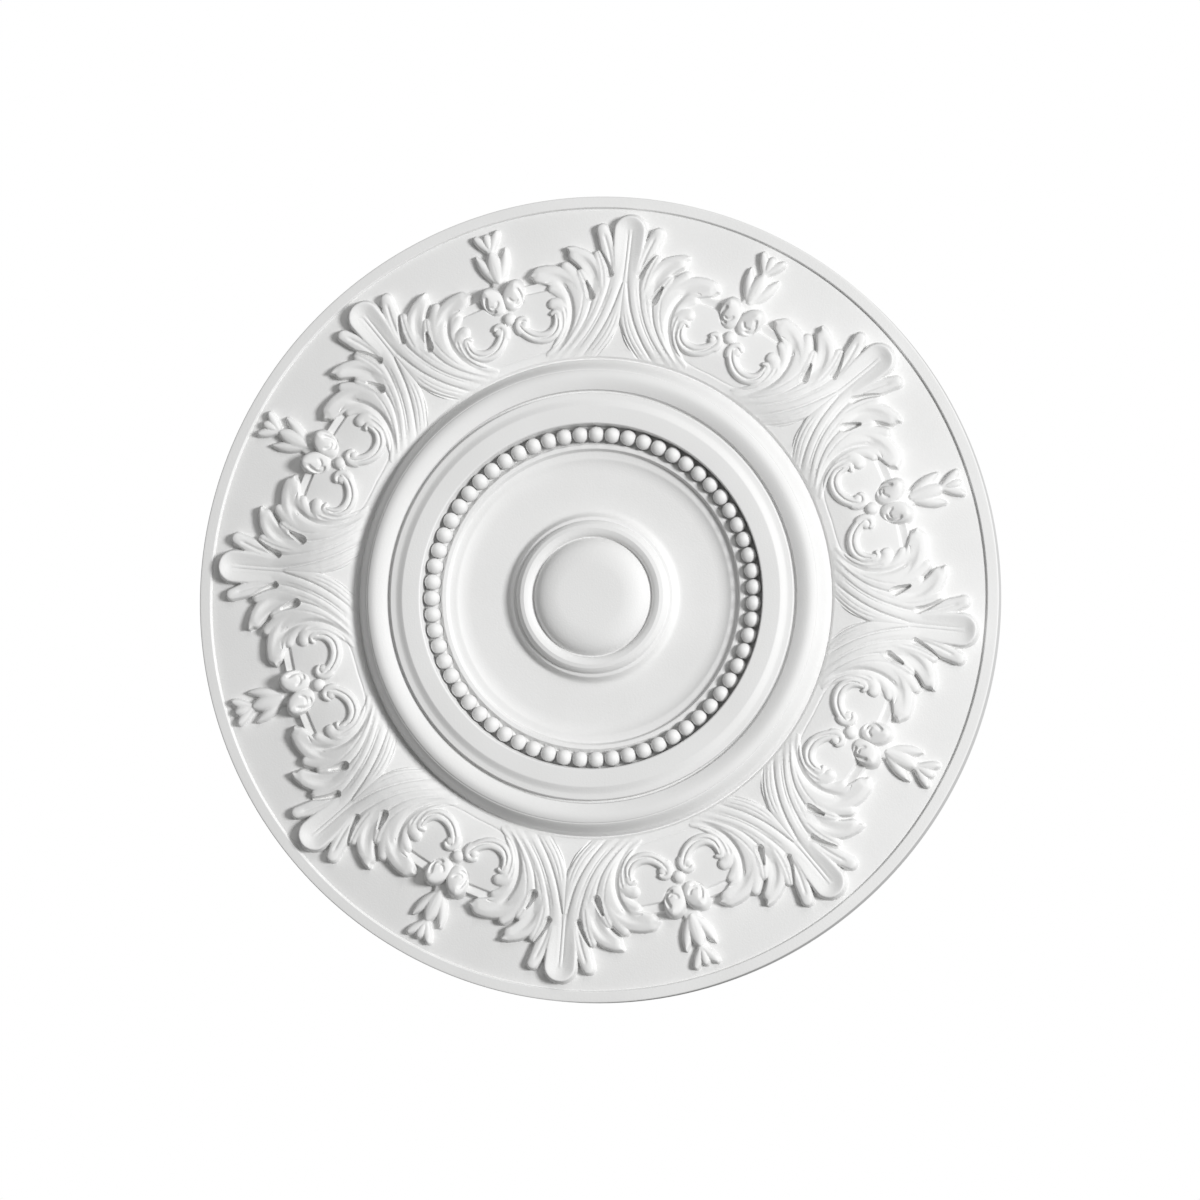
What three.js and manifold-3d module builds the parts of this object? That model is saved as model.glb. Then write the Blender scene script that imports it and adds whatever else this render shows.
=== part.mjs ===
// Ceiling rose: one round casting with turned mouldings, a ring of beads and eight acanthus leaves
// with scrolls and flower sprays between them.
// Millimetres. The rose is drawn face up, with z as the height above its flat back, and is turned
// face down at the end, so that the back lies at z = 0 against the ceiling.

import * as THREE from 'three';
import { mergeVertices } from 'three/addons/utils/BufferGeometryUtils.js';
import Module from 'manifold-3d';

const ROSE_RADIUS = 245;
const MOTIFS = 8;
const MOTIF_ANGLE = 2 * Math.PI / MOTIFS;
const FIRST_LEAF = THREE.MathUtils.degToRad(-5.5);

// Heights of the main surfaces above the back.
const RIM_HEIGHT = 15.4;
const FIELD_EDGE_HEIGHT = 13.6;
const FIELD_INNER_HEIGHT = 18.2;
const STRAP_HEIGHT = 22;
const LEAF_FOOT_HEIGHT = 23.6;
const TORUS_HEIGHT = 38.5;
const BAND_HEIGHT = 39;
const BEAD_SEAT_HEIGHT = 30;
const DISH_HEIGHT = 23.8;
const BOSS_RING_HEIGHT = 35;
const CAP_HEIGHT = 40;

const BEADS = 63;
const BEAD_RING_RADIUS = 98.5;
const BEAD_RADIUS = 4.8;
const BEAD_LIFT = 2.2;
const BEAD_SIDES = 5;
const BEAD_ROWS = 3;

const DISC_SIDES = 40;
const BOSS_SIDES = 20;

// Carved strokes reach down to this height inside the casting.
const ROOT_HEIGHT = 8;
const EDGE_DROP = 1.8;

const wasm = await Module();
wasm.setup();

function toSolid(geometry) {
  const bare = geometry.clone();
  bare.deleteAttribute('normal');
  bare.deleteAttribute('uv');
  const merged = mergeVertices(bare, 1e-4);
  return new wasm.Manifold(new wasm.Mesh({
    numProp: 3,
    vertProperties: new Float32Array(merged.attributes.position.array),
    triVerts: new Uint32Array(merged.index.array),
  }));
}

function toGeometry(solid) {
  const mesh = solid.getMesh();
  const geometry = new THREE.BufferGeometry();
  geometry.setAttribute('position', new THREE.BufferAttribute(mesh.vertProperties, 3));
  geometry.setIndex(new THREE.BufferAttribute(mesh.triVerts, 1));
  return geometry;
}

function joinAll(solids) {
  return solids.reduce((whole, solid) => whole.add(solid));
}

// A turned solid from a profile of [radius, height] pairs, read from the axis outwards.
function turned(profile, base, sides) {
  const outermost = profile[profile.length - 1][0];
  const outline = [[0, base], [outermost, base], ...profile.toReversed()];
  const points = outline.map(([radius, height]) => new THREE.Vector2(radius, height));
  const lathe = new THREE.LatheGeometry(points, sides);
  lathe.rotateX(Math.PI / 2);
  return toSolid(lathe);
}

// From the dish out to the rim: cove, bead seat, flat band, groove, big torus, the ground below
// the leaves, the strap, the sloping field and the rim.
const discProfile = [
  [0, DISH_HEIGHT],
  [75.5, DISH_HEIGHT],
  [88, DISH_HEIGHT + 2.4],
  [90.8, BEAD_SEAT_HEIGHT],
  [103.4, BEAD_SEAT_HEIGHT],
  [105.2, BAND_HEIGHT],
  [115.5, BAND_HEIGHT],
  [123.2, BAND_HEIGHT - 4],
  [130.7, TORUS_HEIGHT],
  [137.2, TORUS_HEIGHT - 3.6],
  [145.6, LEAF_FOOT_HEIGHT],
  [189.4, STRAP_HEIGHT + 2],
  [194.8, FIELD_INNER_HEIGHT],
  [237.6, FIELD_EDGE_HEIGHT],
  [238.4, RIM_HEIGHT],
  [ROSE_RADIUS, RIM_HEIGHT - 0.8],
];

// Centre boss: a domed cap in a half-round ring.
const bossProfile = [
  [0, CAP_HEIGHT],
  [19, CAP_HEIGHT],
  [28.5, CAP_HEIGHT - 1.8],
  [33.2, CAP_HEIGHT - 5.2],
  [35.6, BOSS_RING_HEIGHT - 5],
  [38, BOSS_RING_HEIGHT - 1.4],
  [41.5, BOSS_RING_HEIGHT],
  [44.6, BOSS_RING_HEIGHT - 1.2],
  [46.8, BOSS_RING_HEIGHT - 5.4],
  [52.6, DISH_HEIGHT - 0.6],
];

function beadRing() {
  const beads = [];
  for (let i = 0; i < BEADS; i += 1) {
    const angle = 2 * Math.PI * i / BEADS;
    const bead = new THREE.SphereGeometry(BEAD_RADIUS, BEAD_SIDES, BEAD_ROWS);
    bead.rotateX(Math.PI / 2);
    bead.rotateZ(angle);
    bead.translate(
      BEAD_RING_RADIUS * Math.cos(angle),
      BEAD_RING_RADIUS * Math.sin(angle),
      BEAD_SEAT_HEIGHT + BEAD_LIFT,
    );
    beads.push(toSolid(bead));
  }
  return beads;
}

// Height between neighbouring pairs of a list of [radius, height].
function heightAt(list, radius) {
  const next = Math.max(1, list.findIndex(([edge]) => edge > radius));
  const [r0, h0] = list[next - 1];
  const [r1, h1] = list[next];
  return THREE.MathUtils.mapLinear(radius, r0, r1, h0, h1);
}

// The leaves' crests rise from the torus foot, sink over the field and lift towards their tips.
const leafCrests = [[140, 24.5], [160, 29], [176, 28.4], [192, 24.6], [210, 21.6], [222, 20.4], [240, 20.8]];

// A closed bar with lines of points along its top, from its left edge to its right edge.
// Its sides drop straight down into the casting.
function bar(lines) {
  const steps = lines[0].length - 1;
  const width = lines.length - 1;
  const box = new THREE.BoxGeometry(width, 1, 1, width, 1, steps);
  const position = box.attributes.position;
  for (let i = 0; i < position.count; i += 1) {
    const line = lines[Math.round(position.getX(i) + width / 2)];
    const point = line[Math.round((0.5 - position.getZ(i)) * steps)];
    const height = position.getY(i) > 0 ? point.z : ROOT_HEIGHT;
    position.setXYZ(i, point.x, point.y, height);
  }
  return toSolid(box);
}

// Edge or middle of a lobe at the share t of its path, which runs from its foot to its tip in a frame
// where y points outwards along the leaf and x across it. The lobe grows from foot to half on either
// side of the path and closes to a rounded tip. side is -1, 0 or 1.
function lobePoint({ path, foot, half, round = 0.75 }, t, side) {
  const curve = new THREE.CubicBezierCurve(...path.map(([x, y]) => new THREE.Vector2(x, y)));
  const place = curve.getPoint(t);
  const along = curve.getTangent(t);
  const closing = Math.max(0, (t - round) / (1 - round));
  const width = (foot + (half - foot) * Math.min(1, t / round)) * Math.sqrt(1 - closing * closing);
  return new THREE.Vector2(place.x + side * width * along.y, place.y - side * width * along.x);
}

function raised(point, height) {
  return new THREE.Vector3(point.x, point.y, height(point.length()));
}

// A flat-topped stroke, or one with a crest along its middle where crest is given.
function stroke(lobe, shares, edge, crest) {
  const sides = crest ? [-1, 0, 1] : [-1, 1];
  return sides.map((side) => shares.map((t) => (
    raised(lobePoint(lobe, t, side), side === 0 ? crest : edge)
  )));
}

// The lobes of half an acanthus leaf, from its middle outwards, worked out at these shares of their
// paths. Up to the step joined, a lobe shares a valley with the next one; beyond it the two part.
const LEAF_SHARES = [0, 0.42, 0.78, 0.95];
const leafLobes = [
  { path: [[16.5, 147], [5, 166], [2.5, 196], [4.9, 235]], foot: 4, half: 5.4, lift: 0.2, joined: 2 },
  { path: [[22.5, 147], [7, 170], [5, 200], [19, 229]], foot: 1.4, half: 4.6, lift: 0, joined: 1 },
  { path: [[26, 147], [14, 164], [9.5, 188], [19.4, 213]], foot: 1.8, half: 4, lift: 0.4, joined: 2 },
  { path: [[29, 147], [13, 165], [8, 204], [38, 210]], foot: 1.8, half: 6, lift: 0.6, joined: 1 },
  { path: [[32.5, 147], [24, 163], [18, 184], [34.5, 202]], foot: 1.8, half: 5, lift: 0.4, joined: 2 },
  { path: [[37, 148], [27, 168], [29, 197], [58, 193]], foot: 2.4, half: 6.4, lift: 0.8, joined: 0 },
];
const CURL_SHARES = [0, 0.5, 0.93];
const curl = { path: [[33.5, 152], [31.5, 168], [34, 181], [47, 178.5]], foot: 2.4, half: 5.6 };
const SCROLL_RISE = 4.8;
const SCROLL_SHARES = [0, 0.33, 0.66, 0.97];
const scrollPath = [[39.5, 169.5], [33.5, 157], [48, 148], [61.5, 161.5]];
const scroll = { path: scrollPath, foot: 3, half: 4.4, round: 0.9 };

function mirrored(line) {
  return line.map((point) => new THREE.Vector3(-point.x, point.y, point.z));
}

function halfLeaf() {
  const lobes = leafLobes.map((lobe) => {
    const crest = (radius) => heightAt(leafCrests, radius) + lobe.lift;
    const edge = (radius) => crest(radius) - EDGE_DROP;
    return stroke(lobe, LEAF_SHARES, edge, crest);
  });
  // The two innermost lobes meet on the leaf's axis above the triangle at its foot.
  for (const point of lobes[0][0].slice(1)) {
    point.x = 0;
  }
  for (let i = 0; i + 1 < lobes.length; i += 1) {
    for (let step = 0; step <= leafLobes[i].joined; step += 1) {
      const valley = lobes[i][2][step].clone().lerp(lobes[i + 1][0][step], 0.5);
      lobes[i][2][step] = valley;
      lobes[i + 1][0][step] = valley;
    }
  }
  return lobes;
}

function leaf() {
  const onLeaf = (radius) => heightAt(leafCrests, radius);
  const onGround = (radius) => heightAt(discProfile, radius) + SCROLL_RISE;
  const pieces = [
    ...halfLeaf(),
    stroke(curl, CURL_SHARES, onLeaf),
    stroke(scroll, SCROLL_SHARES, onGround),
  ];
  return joinAll(pieces.flatMap((lines) => [bar(lines), bar(lines.map(mirrored).toReversed())]));
}

// Flower spray between two leaves, drawn about its own axis: a ball, two blossoms, an oval bud
// between two slim leaves, and a trumpet flower with three petals.
const ball = { radius: 4.1, out: 177, height: 26.3 };
const blossom = { sides: 6, top: 4.2, foot: 7.4, length: 1.2, rise: 12, tilt: 0.2, across: 6.8, out: 190.4 };
const bud = { path: [[0, 193], [0, 203], [0, 212], [0, 223]], foot: 2.6, half: 5, round: 0.6 };
const slimLeaf = { path: [[2, 201], [5, 207], [8, 214], [9.6, 222.5]], foot: 1.6, half: 3.4, round: 0.5 };
const middlePetal = { path: [[0, 221], [0, 225], [0, 229], [0, 233]], foot: 1.4, half: 2.6, round: 0.6 };
const outerPetal = { ...middlePetal, path: [[1.5, 221], [3.6, 225], [6, 229], [8.2, 233.5]] };

function ballSolid() {
  const sphere = new THREE.SphereGeometry(ball.radius, 4, 4);
  sphere.rotateX(Math.PI / 2);
  sphere.translate(0, ball.out, ball.height);
  return toSolid(sphere);
}

function blossomSolid(side) {
  const cup = new THREE.CylinderGeometry(blossom.top, blossom.foot, blossom.rise, blossom.sides);
  cup.rotateX(Math.PI / 2);
  cup.scale(1, blossom.length, 1);
  cup.rotateZ(-side * blossom.tilt);
  cup.translate(side * blossom.across, blossom.out, STRAP_HEIGHT);
  return toSolid(cup);
}

function spray() {
  const onField = (rise) => (radius) => heightAt(discProfile, radius) + rise;
  const middle = [
    stroke(middlePetal, [0, 0.85], onField(4.6)),
    stroke(bud, [0, 0.5, 0.93], onField(4), onField(5.8)),
  ];
  const right = [
    stroke(slimLeaf, [0, 0.5, 0.9], onField(4.2)),
    stroke(outerPetal, [0, 0.85], onField(4)),
  ];
  const left = right.map((lines) => lines.map(mirrored).toReversed());
  const strokes = [...middle, ...right, ...left].map(bar);
  return joinAll([ballSolid(), blossomSolid(1), blossomSolid(-1), ...strokes]);
}

function aroundTheAxis(motif, angle) {
  return motif.rotate([0, 0, THREE.MathUtils.radToDeg(angle) - 90]);
}

let rose = turned(discProfile, 0, DISC_SIDES).add(turned(bossProfile, 5, BOSS_SIDES));
for (const bead of beadRing()) {
  rose = rose.add(bead);
}
const oneLeaf = leaf();
const oneSpray = spray();
for (let i = 0; i < MOTIFS; i += 1) {
  const angle = FIRST_LEAF + i * MOTIF_ANGLE;
  rose = rose.add(aroundTheAxis(oneLeaf, angle));
  rose = rose.add(aroundTheAxis(oneSpray, angle - MOTIF_ANGLE / 2));
}

const plaster = new THREE.MeshStandardMaterial({ color: 0xe9e8e4, roughness: 0.85, metalness: 0 });
const roseMesh = new THREE.Mesh(toGeometry(rose), plaster);
roseMesh.name = 'ceiling_rose';
roseMesh.rotation.x = Math.PI;

const ceilingRose = new THREE.Group();
ceilingRose.add(roseMesh);

export default ceilingRose;
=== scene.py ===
import math
import bpy
import numpy as np
from mathutils import Matrix, Vector


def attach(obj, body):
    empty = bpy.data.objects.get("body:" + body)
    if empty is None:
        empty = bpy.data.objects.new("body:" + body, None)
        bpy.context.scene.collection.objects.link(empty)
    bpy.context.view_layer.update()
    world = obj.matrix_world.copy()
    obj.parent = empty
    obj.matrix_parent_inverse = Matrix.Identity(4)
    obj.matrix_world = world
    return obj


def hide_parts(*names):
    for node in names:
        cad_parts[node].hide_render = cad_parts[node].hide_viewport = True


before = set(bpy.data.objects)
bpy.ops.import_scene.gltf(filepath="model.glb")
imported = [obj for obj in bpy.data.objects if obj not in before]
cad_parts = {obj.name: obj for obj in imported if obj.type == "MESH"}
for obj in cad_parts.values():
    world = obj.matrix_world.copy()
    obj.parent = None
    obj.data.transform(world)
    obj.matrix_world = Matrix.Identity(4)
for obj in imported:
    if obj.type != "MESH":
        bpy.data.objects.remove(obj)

# The relief is worked out in millimetres and face up, as heights above the flat back.
MM = 0.001
ROSE_RADIUS = 245
FIRST_LEAF = math.radians(-5.5)
MOTIFS = 8
HALF_MOTIF = math.pi / MOTIFS

BEADS = 63
BEAD_RING = 98.5
BEAD_SIZE = 4.75
BEAD_MIDDLE = 32.2
BEAD_DOME_STEPS = 5

SEAT_INNER = 92.8
SEAT_OUTER = 103.2
SEAT_HEIGHT = 27.0
SEAT_STEPS = 5

# The scrolls stand on ground that is at least this high, and the spray on the field from this radius on.
SCROLL_GROUND = 21.5
FIELD_START = 197

BACK_BEVEL = 0.6
BACK_RINGS = (200, 140, 80, 30)

# Turned mouldings as (radius, height above the back), from the centre outwards.
BASE = [
    # domed cap
    (0, 40), (10, 40), (19, 39.9), (22, 39.6), (25, 39.1), (28, 38.25), (30.5, 37.1), (32.5, 35.6),
    (34, 33.8), (35, 31.9), (35.7, 30.2), (36.1, 29.9),
    # half-round ring and its fall to the dish
    (36.5, 30.2), (36.9, 31.9), (37.8, 33.3), (39.2, 34.4), (41.4, 35), (43.6, 34.5), (45, 33.4),
    (46, 31.8), (46.4, 30.2), (46.8, 29.7), (48.4, 29.4), (48.9, 29.0), (49.4, 28.0), (50.2, 26.4),
    (51.0, 25.1), (51.8, 24.3), (52.8, 23.9), (54.5, 23.8),
    # dish, cove and step
    (75.4, 23.8), (78, 23.95), (80.2, 24.3), (82, 24.85), (83.3, 25.5), (83.9, 25.8), (84.8, 25.9),
    (87.9, 26.2), (88.5, 26.5), (89.0, 27.6), (89.5, 29.2), (89.9, 29.8), (90.5, 29.95), (92.2, 29.9),
    # seat of the beads
    (92.8, 29.2), (94, 27.0), (102, 27.0), (103.2, 27.0),
    # flat band and its bevel
    (103.6, 29.5), (104.2, 36.6), (104.6, 38.3), (105.1, 38.85), (105.9, 39), (115.0, 39), (115.8, 38.8),
    (117.4, 37.8), (119.0, 36.9), (120.2, 36.6), (122.7, 36.4),
    # narrow groove
    (123.1, 36.1), (123.3, 33.8), (123.6, 32.6), (124.7, 32.6), (125.1, 33.8), (125.4, 35.5),
    # big torus
    (126.6, 36.1), (128.0, 36.75), (129.8, 37.4), (131.6, 37.85), (133.2, 38.0), (134.8, 37.75),
    (136.4, 37.1), (136.9, 36.7), (137.2, 36.1), (137.7, 36.0), (138.5, 35.3), (139.7, 33.5),
    (141.0, 30.7), (142.6, 27.2), (143.8, 25.3),
    # crease at the foot of the torus
    (144.5, 23.0), (144.9, 22.2), (145.4, 22.2),
    # ground below the leaves
    (146.6, 24.2), (148.5, 24.8), (150.6, 25.3), (153, 25.6), (156, 26.0), (160, 26.4), (164, 26.6),
    (170, 26.4), (178, 25.6), (184, 24.8), (188.4, 24.1),
    # strap
    (188.9, 23.8), (189.5, 22.2), (190.0, 22.0), (194.0, 22.6), (194.5, 22.3),
    # sloping field
    (195.4, 18.4), (196.0, 18.1), (205, 17.1), (220, 15.5), (236.4, 13.7),
    # rim
    (237.2, 13.3), (237.6, 13.3), (238.3, 15.2), (238.6, 15.4), (243.6, 15.1), (244.5, 14.9),
    (244.9, 14.5), (245, 13.9),
]
# Height of the leaves' crests as (radius, height above the back).
CRESTS = [
    (140, 22.2), (145.4, 22.3), (146.7, 24.4), (149.4, 25.9), (152, 27.1), (156, 28.3), (161, 29.0),
    (168, 29.2), (176, 28.5), (184, 27.0), (192, 25.0), (200, 23.2), (210, 21.6), (220, 20.5),
    (228, 20.4), (236, 21.0),
]


def along(pairs, value):
    x, y = np.array(pairs, float).T
    return np.interp(value, x, y)


def base(radius):
    return along(BASE, radius)


def crest(radius):
    return along(CRESTS, radius)


def scroll_ground(radius):
    return np.maximum(base(radius), SCROLL_GROUND)


def spray_ground(radius):
    return base(np.maximum(radius, FIELD_START))


# A path is the four points of a cubic curve. Widths are half widths at the same four places.
TRACE_STEPS = 24
REFINEMENTS = (0.02, 0.01)
SLOPE_STEP = 0.002
TINY = 1e-9
FAR = -1e9
LEAST_WIDTH = 0.1


def bezier(path, shares):
    p = np.array(path, float)
    t = np.asarray(shares, float)[:, None]
    return (1 - t) ** 3 * p[0] + 3 * (1 - t) ** 2 * t * p[1] + 3 * (1 - t) * t ** 2 * p[2] + t ** 3 * p[3]


def blend(four, shares):
    """One value between four that are given along a path."""
    return bezier([(value, 0) for value in four], shares)[:, 0]


def trace(path, widths, x, y):
    """For each point: how deep it lies inside a stroke, its share along the path, its signed offset
    and the half width there."""
    shares = np.linspace(0, 1, TRACE_STEPS + 1)
    points = bezier(path, shares)
    half = blend(widths, shares)
    deepest = np.full(x.shape, FAR)
    share = np.zeros(x.shape)
    for i in range(TRACE_STEPS):
        (ax, ay), (bx, by) = points[i], points[i + 1]
        dx, dy = bx - ax, by - ay
        s = np.clip(((x - ax) * dx + (y - ay) * dy) / (dx * dx + dy * dy), 0, 1)
        w = half[i] + s * (half[i + 1] - half[i])
        inside = w - np.hypot(x - ax - s * dx, y - ay - s * dy)
        share = np.where(inside > deepest, (i + s) / TRACE_STEPS, share)
        deepest = np.maximum(deepest, inside)
    place = np.stack([x, y], axis=-1)
    # settle on the deepest place between the steps
    for reach in REFINEMENTS:
        before, here, beyond = (
            blend(widths, share + move) - np.hypot(*(place - bezier(path, share + move)).T)
            for move in (-reach, 0, reach)
        )
        bend = np.minimum(before - 2 * here + beyond, -TINY)
        share = np.clip(share + reach * np.clip((before - beyond) / (2 * bend), -1, 1), 0, 1)
    gap = place - bezier(path, share)
    slope = bezier(path, share + SLOPE_STEP) - bezier(path, share - SLOPE_STEP)
    slope /= np.maximum(np.hypot(*slope.T), TINY)[:, None]
    width = blend(widths, share)
    offset = gap[:, 0] * slope[:, 1] - gap[:, 1] * slope[:, 0]
    return width - np.hypot(*gap.T), share, offset, width


# How steeply the sides of a lobe and of a slot fall, as height for each millimetre across.
WALL = 5.0
SCROLL_WALL = 3
SLOT_WALL = 4.0
NEAR_POINTS = 13
NEAR_REACH = 2.5
FLAT = (0, 0, 0, 0)


def edge_round(inside, radius):
    gap = np.clip(1 - inside / radius, 0, 1)
    return radius * (1 - np.sqrt(1 - gap * gap))


def smooth(value):
    value = np.clip(value, 0, 1)
    return value * value * (3 - 2 * value)


def near(path, widths, x, y):
    """The points that a stroke can touch."""
    points = bezier(path, np.linspace(0, 1, NEAR_POINTS))
    low = points.min(0) - max(widths) - NEAR_REACH
    high = points.max(0) + max(widths) + NEAR_REACH
    return (x > low[0]) & (x < high[0]) & (y > low[1]) & (y < high[1])


def lobe(height, x, y, path, widths, lift=FLAT, crown=0.8, edge=1.3, level=crest, dish=FLAT,
         lean=None, lines=(), wall=WALL):
    """Raises a lobe on the relief. lift and dish are given at four places along it, as the widths are.
    crown is how far its edges lie below its middle. dish sinks it inside its rim, in its middle or at
    the offset lean, from -1 to 1 across it. Each line has an offset, a width, a rise, and the shares
    of the path where it starts and ends."""
    touched = near(path, widths, x, y)
    px, py = x[touched], y[touched]
    inside, share, offset, width = trace(path, widths, px, py)
    depth = np.clip(inside / np.maximum(width, LEAST_WIDTH), 0, 1)
    top = level(np.hypot(px, py)) + blend(lift, share) - crown * (1 - depth) ** 2
    across = np.clip(offset / np.maximum(width, LEAST_WIDTH), -1, 1)
    bowl = 1.2 * depth
    if lean is not None:
        bowl = np.minimum(bowl, 1.1 * np.exp(-((across - lean) / 0.5) ** 2))
    top = top - blend(dish, share) * smooth(bowl)
    for at, wide, tall, start, end in lines:
        fade = smooth((share - start) / 0.15) * smooth((end - share) / 0.12)
        top = top + tall * fade * np.exp(-((across - at) / wide) ** 2)
    raised = np.where(inside > 0, top - edge_round(inside, edge), top - edge + wall * inside)
    height = height.copy()
    height[touched] = np.maximum(height[touched], raised)
    return height


def groove(height, x, y, path, depth, wide, ends=0.2):
    """Sinks a rounded line into the relief. It fades out over the share ends at both of its ends."""
    touched = near(path, FLAT, x, y)
    inside, share = trace(path, FLAT, x[touched], y[touched])[:2]
    fade = smooth(share / ends) * smooth((1 - share) / ends)
    height = height.copy()
    height[touched] -= depth * fade * np.exp(-(inside / wide) ** 2)
    return height


def slot(height, x, y, path, widths, floor):
    """Cuts a slot with steep walls down to a level floor."""
    touched = near(path, widths, x, y)
    inside = trace(path, widths, x[touched], y[touched])[0]
    height = height.copy()
    height[touched] = np.minimum(height[touched], floor + SLOT_WALL * np.maximum(-inside, 0))
    return height


# Half an acanthus leaf: x across it and y outwards along it, from the rose's axis.
LEAF = [
    # body under the ribs
    dict(path=((24, 144), (8, 166), (6, 190), (2, 220)), widths=(6, 8, 7, 5),
         lift=(-2.4, -1.9, -1.8, -2), crown=0, edge=1),
    dict(path=((33, 144), (18, 166), (12, 186), (20, 203)), widths=(6, 8, 6, 3.5),
         lift=(-2.4, -1.9, -1.8, -2), crown=0, edge=1),
    dict(path=((33, 152), (27, 166), (26, 184), (42, 193)), widths=(4, 7, 7, 3),
         lift=(-2.4, -1.9, -1.6, -1.6), crown=0, edge=1),
    # middle lobe
    dict(path=((0, 188), (0, 202), (0, 214), (0, 223.6)), widths=(6.4, 7.4, 10.2, 9.9),
         lift=(-2, -.4, .8, 1.2), crown=0, edge=1.5, dish=(0, .5, 2.2, 1.9)),
    # four ribs, from the leaf's axis to its side
    dict(path=((19, 144), (7.4, 156), (2.6, 168), (0.4, 192)), widths=(3.6, 5.2, 5.4, .8),
         lift=(0, 0, 0, -1), crown=.9, edge=.6),
    dict(path=((26.6, 144), (9.6, 162), (4.4, 182), (5.0, 212)), widths=(3.6, 3.4, 3.6, 4.2),
         lift=(0, 0, 0, -1.6), crown=.9, edge=.5),
    dict(path=((33.4, 143.6), (15.6, 162), (12, 178), (15.4, 192)), widths=(3.2, 3.6, 5.6, 5.2),
         lift=(0, .1, .1, -1), crown=.9, edge=.5),
    dict(path=((38.5, 142.6), (22.5, 160), (19.5, 174), (31, 189)), widths=(3.2, 3.6, 6.4, 6.6),
         lift=(0, .1, .2, -.2), crown=.9, edge=.5),
    # side lobe
    dict(path=((7.4, 188), (8.6, 204), (12.5, 213), (17.2, 223.6)), widths=(2.4, 5, 5.2, 3.6),
         lift=(-2, .1, .4, .6), crown=1.0, lines=((-0.05, .2, -.8, .2, .95),)),
    # finger 2, hook 2 and its point
    dict(path=((13, 176), (11.6, 188), (13.5, 198), (17.9, 207.4)), widths=(2.4, 4, 5, 3.2),
         lift=(-1, 0, .3, .4), crown=1.2, edge=.8, lines=((-0.1, .16, -.5, .3, 1.1),)),
    dict(path=((15, 176), (15, 190), (18.5, 203), (32.0, 207.2)), widths=(3, 5.4, 7.2, 4.3),
         lift=(-1, 0, .7, 1.0), crown=1.1, edge=1.3, dish=(0, 2, 2.4, 0), lean=.25),
    dict(path=((29, 207), (32, 208.4), (34, 209.6), (37.0, 210.5)), widths=(3.4, 3.8, 2.4, .8),
         lift=(-1.2, .8, .9, .7), crown=.8, edge=1.1),
    # finger 3, thumb, hook 3 and its point
    dict(path=((21, 172), (20, 180), (22, 187), (27.4, 195.4)), widths=(2.6, 4, 5, 3),
         lift=(-1, 0, .3, .5), crown=1.2, edge=.8, lines=((-0.1, .16, -.5, .3, 1.1),)),
    dict(path=((24, 172), (23.5, 182), (29, 192), (37.4, 199.2)), widths=(2.6, 4, 4.8, 2.8),
         lift=(-1, 0, .4, .6), crown=1.1, edge=.9),
    dict(path=((25, 170), (25.5, 182), (33, 194.2), (52, 192.6)), widths=(3, 6, 9, 5.3),
         lift=(-1, .3, .9, 1.2), crown=1.2, edge=1.4, dish=(0, 2.2, 2.8, 0), lean=.25),
    dict(path=((48, 193), (51, 193.2), (54, 192.6), (57.4, 191.5)), widths=(4, 5, 3.4, 1),
         lift=(-1.4, 1, 1, .8), crown=.9, edge=1.2),
    # curls
    dict(path=((39.5, 144), (28, 160), (27.5, 181), (43.4, 184.7)), widths=(2.4, 4, 5.4, 3.3),
         lift=(-.3, -.8, -1.0, .2), crown=1.5, edge=1.4),
    dict(path=((42, 144), (29, 157), (32, 177), (41.6, 175.4)), widths=(2.2, 2.6, 5.2, 3.7),
         lift=(-.3, -.5, -.2, .5), crown=1.4, edge=1.4,
         lines=((-.25, .2, -.9, .35, .8), (0.3, .16, -.5, .3, .8))),
]
# Eyes between the lobes, and the gap under the large hook: path, widths and height of the floor.
SLOTS = [
    (((9.3, 196.8), (10.8, 202), (14.6, 208), (19.6, 214)), (1.0, .6, .2, .3), 18),
    (((19.2, 182.2), (20.2, 184.2), (21.4, 187), (23.4, 190.6)), (1.3, 1.5, .7, .1), 20.5),
    (((34.5, 186.6), (38, 190), (43, 190.6), (47.5, 188.2)), (.2, .7, .7, .3), 24.2),
]
# Grooves: path, depth and width.
GROOVES = [
    # fold between the leaf and its curls
    (((41, 143), (23, 161), (28.5, 183), (42, 190.5)), 1.6, 1.5),
    # fine lines along the ribs
    (((14.4, 144.6), (7.2, 152.6), (2.4, 159.6), (0, 169)), .9, .5),
    (((16.5, 144.5), (8, 154), (3.4, 162), (1.4, 176)), .45, .5),
    (((23.5, 143), (10.4, 160), (4.2, 174), (1.4, 196)), 1.0, .65),
    (((31.5, 143.5), (18, 158), (11, 172), (8.8, 196)), .65, .6),
    (((37, 143), (23, 158), (18.4, 170), (18.6, 184)), .75, .65),
    (((28, 144), (15, 161), (9, 174), (6.0, 198)), .35, .5),
    (((34.5, 144), (20.5, 160), (15, 174), (13.6, 190)), .35, .5),
    (((39.5, 143.5), (25.5, 158), (22, 172), (24.5, 187)), .4, .6),
    (((42, 144.5), (30, 158), (29, 170), (34, 180)), .5, .6),
    (((20.5, 144), (11, 154), (5.2, 163), (3.0, 178)), .35, .45),
    (((1.4, 227), (1.2, 216), (1.0, 204), (1.5, 188)), .6, .5),
]
GROUND_LINE = ((33, 163), (32.6, 148.6), (44, 145), (66, 137.4))


def dot(place):
    """A stroke so short that it's round."""
    return [(place[0], place[1] + 0.1 * step) for step in range(4)]


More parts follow.
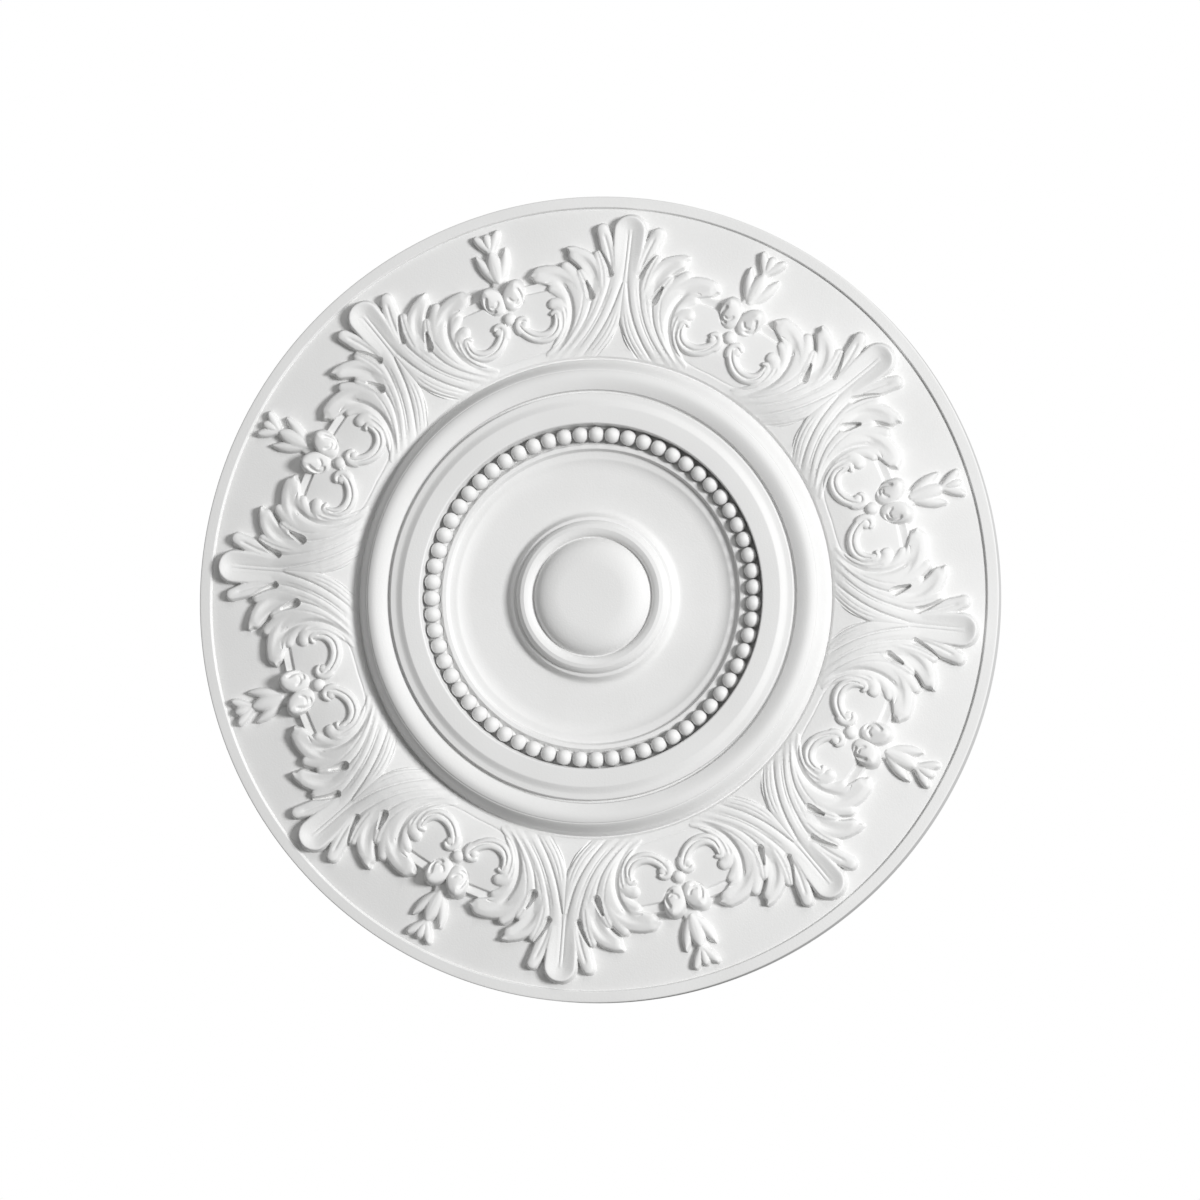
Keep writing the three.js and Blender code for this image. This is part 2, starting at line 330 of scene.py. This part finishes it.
# Half a pair of C scrolls, in the leaf's frame: its ridge, its hooked end, and its volute with an eye.
SCROLL = [
    dict(path=((38.8, 168.4), (33.5, 157), (48, 148), (60.2, 159.4)), widths=(2.0, 4.2, 3.9, 3.0),
         lift=(3.1,) * 4, crown=.7, edge=1.6, lines=((0.08, .2, -1.3, -.2, 1.3),), wall=SCROLL_WALL),
    dict(path=((37.6, 167.5), (37.6, 170.4), (40, 171.6), (41.8, 169.2)), widths=(2.2, 2, 1.7, 1.3),
         lift=(2.8,) * 4, crown=.8, edge=1.2),
    dict(path=((59.6, 156.6), (64.6, 160), (61.4, 167), (57.0, 164.2)), widths=(2.4, 2, 1.9, 1.5),
         lift=(2.8, 3.2, 3.2, 3), crown=.9, edge=1.2),
    dict(path=dot((57.9, 161.0)), widths=(2.7,) * 4, lift=(3.2,) * 4, crown=1.2, edge=1.4),
]
# Half a flower spray, about its own axis.
BALL = dict(path=dot((0, 177)), widths=(4,) * 4, lift=(3.6,) * 4, crown=1.8, edge=2.2)
BLOSSOM = dict(path=((4.6, 185.4), (5.4, 188.6), (7.2, 192.4), (8.6, 195.6)), widths=(4.4, 7.6, 7.4, 3.9),
               lift=(9.8, 10.4, 11.2, 11.6), crown=1.7, edge=1.9)
OUTER_CRESCENT = ((5.2, 184.8), (10.6, 182.4), (13.0, 188.6), (9.2, 194.4))
INNER_CRESCENT = ((3.4, 190.6), (3.8, 186.6), (7.2, 184.8), (9.4, 188.2))
SPRAY = [
    # stalk, bud and slim leaf
    dict(path=((0, 192), (0, 196), (0, 201), (0, 204)), widths=(6, 6, 5, 4), lift=(3.4,) * 4, crown=.8,
         edge=1.5),
    dict(path=((0, 202), (0, 208), (0, 214), (0, 219)), widths=(2.6, 5.6, 5.6, 2.6),
         lift=(5, 6, 6.6, 5.6), crown=1.9, edge=1.8, lines=((-.1, .1, -.35, .1, .8),)),
    dict(path=((2.0, 202), (4.0, 208), (7.4, 214), (9.3, 220.6)), widths=(1.2, 4, 4.2, .9),
         lift=(4, 5.2, 5.4, 4), crown=2.2, edge=.8),
    # trumpet flower: cup, outer petal and middle petal
    dict(path=((0, 219), (0, 222), (0, 225), (0, 227.4)), widths=(2, 2.6, 4.6, 4.6), lift=(4.4,) * 4,
         crown=.9, edge=1.2),
    dict(path=((1.2, 222), (2.8, 226), (4.6, 228.6), (6.6, 231.4)), widths=(1.6, 2.8, 3.2, 1.9),
         lift=(4.4, 4.8, 5.2, 5), crown=1.2, edge=1.3),
    dict(path=((0, 224), (0, 226.6), (0, 229), (0, 230.4)), widths=(1.4, 2.6, 3, 2.3),
         lift=(5, 5.4, 5.8, 5.4), crown=1.2, edge=1.2),
]


def with_leaf(height, x, y):
    for one in LEAF:
        height = lobe(height, x, y, **one)
    for path, widths, floor in SLOTS:
        height = slot(height, x, y, path, widths, floor)
    for path, depth, wide in GROOVES:
        height = groove(height, x, y, path, depth, wide)
    return height


def with_scroll(height, x, y):
    height = groove(height, x, y, GROUND_LINE, .5, .5, .1)
    for one in SCROLL:
        height = lobe(height, x, y, level=scroll_ground, **one)
    return height


def with_spray(height, x, y):
    height = lobe(height, x, y, level=scroll_ground, **BALL)
    height = lobe(height, x, y, level=spray_ground, **BLOSSOM)
    height = groove(height, x, y, OUTER_CRESCENT, 2.2, 1.0, .12)
    height = groove(height, x, y, INNER_CRESCENT, 1.4, .9)
    for one in SPRAY:
        height = lobe(height, x, y, level=spray_ground, **one)
    return height


def relief(radius, angle):
    """Height above the back at each radius and angle from the nearest leaf's axis."""
    x, y = radius * np.sin(angle), radius * np.cos(angle)
    height = with_scroll(with_leaf(base(radius), x, y), x, y)
    spray_x, spray_y = radius * np.sin(HALF_MOTIF - angle), radius * np.cos(HALF_MOTIF - angle)
    return with_spray(height, spray_x, spray_y)


RING_INNER, RING_OUTER = 142.6, 237.3
COLUMNS = 252
ROW_STEP = 0.45
WEDGE_COLUMNS = 150
RING_TRIANGLES = 134000
# Circles of the turned mouldings where the profile turns by more than this are sharp.
CREASE = math.radians(24)
SHARP_FROM = math.radians(38)
NORMAL_WEIGHT = 60


def ring_grid():
    """The carved ring as a fine polar grid: one wedge is worked out and mirrored round the axis."""
    rows = int(round((RING_OUTER - RING_INNER) / ROW_STEP)) + 1
    radius = np.linspace(RING_INNER, RING_OUTER, rows)
    wedge = np.linspace(0, HALF_MOTIF, WEDGE_COLUMNS + 1)
    r, a = np.meshgrid(radius, wedge, indexing="ij")
    one = relief(r, a)
    motif = np.concatenate([one[:, :0:-1], one[:, :-1]], axis=1)
    heights = np.tile(motif, (1, MOTIFS))
    count = heights.shape[1]
    angles = FIRST_LEAF - HALF_MOTIF + 2 * math.pi * np.arange(count) / count
    return radius, angles, heights


def from_arrays(name, points, faces):
    mesh = bpy.data.meshes.new(name)
    faces = np.asarray(faces, np.int32)
    mesh.vertices.add(len(points))
    mesh.vertices.foreach_set("co", np.asarray(points, np.float32).ravel())
    mesh.loops.add(faces.size)
    mesh.loops.foreach_set("vertex_index", faces.ravel())
    mesh.polygons.add(len(faces))
    mesh.polygons.foreach_set("loop_start", np.arange(0, faces.size, faces.shape[1], dtype=np.int32))
    mesh.update(calc_edges=True)
    mesh.validate()
    piece = bpy.data.objects.new(name, mesh)
    bpy.context.scene.collection.objects.link(piece)
    return piece


def grid_faces(rows, columns):
    i, j = np.meshgrid(np.arange(rows - 1), np.arange(columns), indexing="ij")
    i, j = i.ravel(), j.ravel()
    k = (j + 1) % columns
    return np.stack([i * columns + j, (i + 1) * columns + j, (i + 1) * columns + k, i * columns + k], axis=1)


def carved_ring():
    """Points and triangles of the carved ring, thinned out where it's smooth."""
    radius, angles, heights = ring_grid()
    r = radius[:, None]
    points = np.stack([r * np.cos(angles), r * np.sin(angles), heights], axis=-1).reshape(-1, 3)
    quads = grid_faces(len(radius), len(angles))
    ring = from_arrays("ring", points, quads)
    decimate = ring.modifiers.new("fewer", "DECIMATE")
    decimate.ratio = RING_TRIANGLES / (2 * len(quads))
    bpy.context.view_layer.update()
    shown = ring.evaluated_get(bpy.context.evaluated_depsgraph_get())
    mesh = shown.to_mesh()
    mesh.calc_loop_triangles()
    co = np.zeros(len(mesh.vertices) * 3)
    mesh.vertices.foreach_get("co", co)
    tris = np.zeros(len(mesh.loop_triangles) * 3, np.int32)
    mesh.loop_triangles.foreach_get("vertices", tris)
    shown.to_mesh_clear()
    bpy.data.objects.remove(ring)
    return co.reshape(-1, 3), tris.reshape(-1, 3)


def boundary_loops(tris):
    """The open edges of a triangle mesh as closed loops of vertices."""
    edges = np.concatenate([tris[:, [0, 1]], tris[:, [1, 2]], tris[:, [2, 0]]])
    key = {(a, b) for a, b in map(tuple, edges)}
    after = {a: b for a, b in key if (b, a) not in key}
    loops = []
    while after:
        start = next(iter(after))
        loop = [start]
        here = after.pop(start)
        while here != start:
            loop.append(here)
            here = after.pop(here)
        loops.append(loop)
    return loops


def by_angle(points, loop):
    angle = np.arctan2(points[loop, 1], points[loop, 0])
    order = np.argsort(angle)
    return [loop[i] for i in order], angle[order]


def zipped(points, first, second):
    """Triangles between two closed loops round the axis, first inside second."""
    a, angle_a = by_angle(points, first)
    b, angle_b = by_angle(points, second)
    faces = []
    i = j = 0
    while i < len(a) or j < len(b):
        turn_a = angle_a[(i + 1) % len(a)] + (2 * math.pi if i + 1 >= len(a) else 0)
        turn_b = angle_b[(j + 1) % len(b)] + (2 * math.pi if j + 1 >= len(b) else 0)
        if j >= len(b) or (i < len(a) and turn_a <= turn_b):
            faces.append((a[i % len(a)], b[j % len(b)], a[(i + 1) % len(a)]))
            i += 1
        else:
            faces.append((a[i % len(a)], b[j % len(b)], b[(j + 1) % len(b)]))
            j += 1
    return faces


class Turned:
    """Points and triangles that grow from circles round the axis."""

    def __init__(self):
        self.points = []
        self.faces = []
        self.creases = []

    def point(self, x, y, height):
        self.points.append((x, y, height))
        return len(self.points) - 1

    def circle(self, radius, height):
        turns = [2 * math.pi * k / COLUMNS for k in range(COLUMNS)]
        return [self.point(radius * math.cos(turn), radius * math.sin(turn), height) for turn in turns]

    def band(self, inner, outer):
        for k in range(COLUMNS):
            n = (k + 1) % COLUMNS
            self.faces.append((inner[k], outer[k], outer[n]))
            self.faces.append((inner[k], outer[n], inner[n]))

    def moulding(self, pairs):
        """A turned profile. Gives its first and its last circle."""
        rings = [self.circle(radius, height) for radius, height in pairs]
        for inner, outer in zip(rings, rings[1:]):
            self.band(inner, outer)
        slopes = [math.atan2(h1 - h0, r1 - r0) for (r0, h0), (r1, h1) in zip(pairs, pairs[1:])]
        for ring, before, after in zip(rings[1:], slopes, slopes[1:]):
            if abs(after - before) > CREASE:
                self.creases.append(ring)
        return rings[0], rings[-1]


def seat_sides(body, inner, outer):
    """Lines of points across the bead seat, one between each bead and the next."""
    per_bead = COLUMNS // BEADS
    sides = []
    for k in range(BEADS):
        angle = 2 * math.pi * k / BEADS
        side = [inner[k * per_bead]]
        for n in range(1, SEAT_STEPS):
            radius = SEAT_INNER + (SEAT_OUTER - SEAT_INNER) * n / SEAT_STEPS
            side.append(body.point(radius * math.cos(angle), radius * math.sin(angle), SEAT_HEIGHT))
        side.append(outer[k * per_bead])
        sides.append(side)
    return sides


def add_bead(body, k, rim):
    """One bead in its cell: its foot lies on the seat, and a dome closes it."""
    middle = 2 * math.pi * (k + 0.5) / BEADS
    cx, cy = BEAD_RING * math.cos(middle), BEAD_RING * math.sin(middle)
    turns = [math.atan2(body.points[i][1] - cy, body.points[i][0] - cx) for i in rim]
    levels = [(BEAD_SIZE, SEAT_HEIGHT)]
    for step in range(BEAD_DOME_STEPS):
        rise = math.pi / 2 * step / BEAD_DOME_STEPS
        levels.append((BEAD_SIZE * math.cos(rise), BEAD_MIDDLE + BEAD_SIZE * math.sin(rise)))
    lower = rim
    for reach, height in levels:
        ring = [
            body.point(cx + reach * math.cos(turn), cy + reach * math.sin(turn), height) for turn in turns
        ]
        for n in range(len(rim)):
            m = (n + 1) % len(rim)
            body.faces.append((lower[n], lower[m], ring[m]))
            body.faces.append((lower[n], ring[m], ring[n]))
        lower = ring
    top = body.point(cx, cy, BEAD_MIDDLE + BEAD_SIZE)
    for n in range(len(rim)):
        body.faces.append((lower[n], lower[(n + 1) % len(rim)], top))


def add_beads(body, dish_end, wall):
    """The bead seat between two circles, cut into one cell for each bead."""
    per_bead = COLUMNS // BEADS
    sides = seat_sides(body, dish_end, wall)
    for k in range(BEADS):
        right, left = sides[k], sides[(k + 1) % BEADS]
        inner = [dish_end[(k * per_bead + n) % COLUMNS] for n in range(per_bead + 1)]
        outer = [wall[(k * per_bead + n) % COLUMNS] for n in range(per_bead + 1)]
        add_bead(body, k, right[:-1] + outer[:-1] + left[:0:-1] + inner[:0:-1])


def add_back(body, edge):
    """The outer edge and the flat back."""
    foot = body.circle(ROSE_RADIUS, BACK_BEVEL)
    body.band(edge, foot)
    heel = body.circle(ROSE_RADIUS - BACK_BEVEL, 0)
    body.band(foot, heel)
    rings = [body.circle(radius, 0) for radius in BACK_RINGS]
    for outer, inner in zip([heel] + rings, rings):
        body.band(outer, inner)
    middle = body.point(0, 0, 0)
    for k in range(COLUMNS):
        body.faces.append((rings[-1][(k + 1) % COLUMNS], rings[-1][k], middle))


def rose_mesh():
    """Points and triangles of the whole rose in metres and face down, and its sharp circles."""
    body = Turned()
    profile = [(r, h) for r, h in BASE if r > 0]
    ring_start = (RING_INNER, float(base(RING_INNER)))
    ring_end = (RING_OUTER, float(base(RING_OUTER)))

    first, dish_end = body.moulding([p for p in profile if p[0] <= SEAT_INNER])
    centre = body.point(0, 0, BASE[0][1])
    for k in range(COLUMNS):
        body.faces.append((centre, first[k], first[(k + 1) % COLUMNS]))
    wall, inner_end = body.moulding([p for p in profile if SEAT_OUTER <= p[0] < RING_INNER] + [ring_start])
    add_beads(body, dish_end, wall)
    edge_in, edge_out = body.moulding([ring_end] + [p for p in profile if p[0] > RING_OUTER])
    add_back(body, edge_out)

    ring_points, ring_faces = carved_ring()
    ring_faces = ring_faces + len(body.points)
    points = np.concatenate([np.array(body.points, float), ring_points])
    loops = boundary_loops(ring_faces)
    loops.sort(key=lambda loop: np.hypot(points[loop, 0], points[loop, 1]).mean())
    faces = np.concatenate([
        np.array(body.faces),
        ring_faces,
        np.array(zipped(points, inner_end, loops[0])),
        np.array(zipped(points, loops[1], edge_in)),
    ])
    # face down: the back lies against the ceiling at z = 0
    points = points * np.array([1, -1, -1]) * MM
    return points, faces, body.creases


def finish_normals(piece, creases):
    mesh = piece.data
    mesh.shade_smooth()
    mesh.set_sharp_from_angle(angle=SHARP_FROM)
    on_crease = np.zeros(len(mesh.vertices), int)
    for number, ring in enumerate(creases):
        on_crease[ring] = number + 1
    ends = np.zeros(2 * len(mesh.edges), np.int32)
    mesh.edges.foreach_get("vertices", ends)
    first, second = on_crease[ends].reshape(-1, 2).T
    sharp = mesh.attributes["sharp_edge"].data
    marked = np.zeros(len(mesh.edges), bool)
    sharp.foreach_get("value", marked)
    sharp.foreach_set("value", marked | ((first > 0) & (first == second)))
    weighted = piece.modifiers.new("weighted", "WEIGHTED_NORMAL")
    weighted.keep_sharp = True
    weighted.weight = NORMAL_WEIGHT


CLOUD_SCALE = 22
GRAIN_SCALE = 900
GRAIN_DEPTH = 0.0002
DARKER_WHITE = (0.78, 0.78, 0.776, 1)
LIGHTER_WHITE = (0.81, 0.81, 0.807, 1)


def casting_material():
    """Matt white with faint clouds in its tone and a fine grain."""
    material = bpy.data.materials.new("white_casting")
    material.use_nodes = True
    nodes, links = material.node_tree.nodes, material.node_tree.links
    shader = nodes["Principled BSDF"]
    shader.inputs["Roughness"].default_value = 0.62
    shader.inputs["Specular IOR Level"].default_value = 0.3
    place = nodes.new("ShaderNodeTexCoord")
    cloud = nodes.new("ShaderNodeTexNoise")
    cloud.inputs["Scale"].default_value = CLOUD_SCALE
    cloud.inputs["Detail"].default_value = 4
    links.new(place.outputs["Object"], cloud.inputs["Vector"])
    tone = nodes.new("ShaderNodeValToRGB")
    darker, lighter = tone.color_ramp.elements
    darker.position = 0.3
    darker.color = DARKER_WHITE
    lighter.position = 0.7
    lighter.color = LIGHTER_WHITE
    links.new(cloud.outputs["Fac"], tone.inputs["Fac"])
    links.new(tone.outputs["Color"], shader.inputs["Base Color"])
    grain = nodes.new("ShaderNodeTexNoise")
    grain.inputs["Scale"].default_value = GRAIN_SCALE
    grain.inputs["Detail"].default_value = 3
    links.new(place.outputs["Object"], grain.inputs["Vector"])
    bump = nodes.new("ShaderNodeBump")
    bump.inputs["Strength"].default_value = 0.5
    bump.inputs["Distance"].default_value = GRAIN_DEPTH
    links.new(grain.outputs["Fac"], bump.inputs["Height"])
    links.new(bump.outputs["Normal"], shader.inputs["Normal"])
    return material


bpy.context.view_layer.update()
points, faces, creases = rose_mesh()
rose = from_arrays("rose", points, faces)
finish_normals(rose, creases)
rose.data.materials.append(casting_material())
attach(rose, "root")
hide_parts("ceiling_rose")

# From here on lengths are metres. The camera looks up at the rose, from a little to the right of its
# axis and a little towards the foot of the picture.
CAMERA_RIGHT, CAMERA_DOWN = 0.15, 0.066
CAMERA_DISTANCE = 5.0
CAMERA_REACH = 60
FRAME_WIDTH = 0.7297
SENSOR_WIDTH = 36
away = Vector((CAMERA_RIGHT, CAMERA_DOWN, -1)).normalized()
side = Vector((0, -1, 0)).cross(away).normalized()
up = away.cross(side).normalized()


def place_camera():
    camera = bpy.data.objects.new("camera", bpy.data.cameras.new("camera"))
    bpy.context.scene.collection.objects.link(camera)
    camera.location = away * CAMERA_DISTANCE
    camera.rotation_mode = "QUATERNION"
    camera.rotation_quaternion = Matrix((side, up, away)).transposed().to_quaternion()
    camera.data.sensor_width = SENSOR_WIDTH
    camera.data.lens = SENSOR_WIDTH * CAMERA_DISTANCE / FRAME_WIDTH
    camera.data.clip_end = CAMERA_REACH
    bpy.context.scene.camera = camera


LIGHT_DISTANCE = 10
AMBIENT = 0.215
WHITE = (1, 1, 1, 1)


def soft_light(name, tilt, turn, size, power):
    """A disc of light, tilted off the camera's axis. turn counts from the picture's right to its top."""
    light = bpy.data.lights.new(name, "AREA")
    light.shape = "DISK"
    light.size = size
    light.energy = power * math.pi * LIGHT_DISTANCE ** 2
    lamp = bpy.data.objects.new(name, light)
    bpy.context.scene.collection.objects.link(lamp)
    tilt, turn = math.radians(tilt), math.radians(turn)
    toward = (away + math.tan(tilt) * (math.cos(turn) * side + math.sin(turn) * up)).normalized()
    lamp.location = toward * LIGHT_DISTANCE
    lamp.rotation_mode = "QUATERNION"
    lamp.rotation_quaternion = toward.to_track_quat("Z", "Y")


def white_world():
    """A weak even light from all sides, which the camera sees as pure white."""
    world = bpy.data.worlds.new("studio")
    bpy.context.scene.world = world
    world.use_nodes = True
    nodes, links = world.node_tree.nodes, world.node_tree.links
    lighting = nodes["Background"]
    lighting.inputs["Color"].default_value = WHITE
    lighting.inputs["Strength"].default_value = AMBIENT
    seen = nodes.new("ShaderNodeBackground")
    seen.inputs["Color"].default_value = WHITE
    seen.inputs["Strength"].default_value = 1.0
    path = nodes.new("ShaderNodeLightPath")
    mix = nodes.new("ShaderNodeMixShader")
    links.new(path.outputs["Is Camera Ray"], mix.inputs["Fac"])
    links.new(lighting.outputs["Background"], mix.inputs[1])
    links.new(seen.outputs["Background"], mix.inputs[2])
    links.new(mix.outputs["Shader"], nodes["World Output"].inputs["Surface"])


FLOOR_SIZE = 60
FLOOR_DEPTH = 12


def pale_floor():
    bpy.ops.mesh.primitive_plane_add(size=FLOOR_SIZE, location=(0, 0, -FLOOR_DEPTH))
    plane = bpy.context.object
    plane.name = "floor"
    material = bpy.data.materials.new("pale_floor")
    material.use_nodes = True
    shader = material.node_tree.nodes["Principled BSDF"]
    shader.inputs["Base Color"].default_value = (0.82, 0.82, 0.81, 1)
    shader.inputs["Roughness"].default_value = 0.9
    plane.data.materials.append(material)
    return plane


place_camera()
soft_light("key", tilt=38, turn=13, size=2.4, power=2.88)
soft_light("fill", tilt=42, turn=75, size=5, power=0.45)
bpy.context.scene.view_settings.view_transform = "Standard"
white_world()
floor = pale_floor()
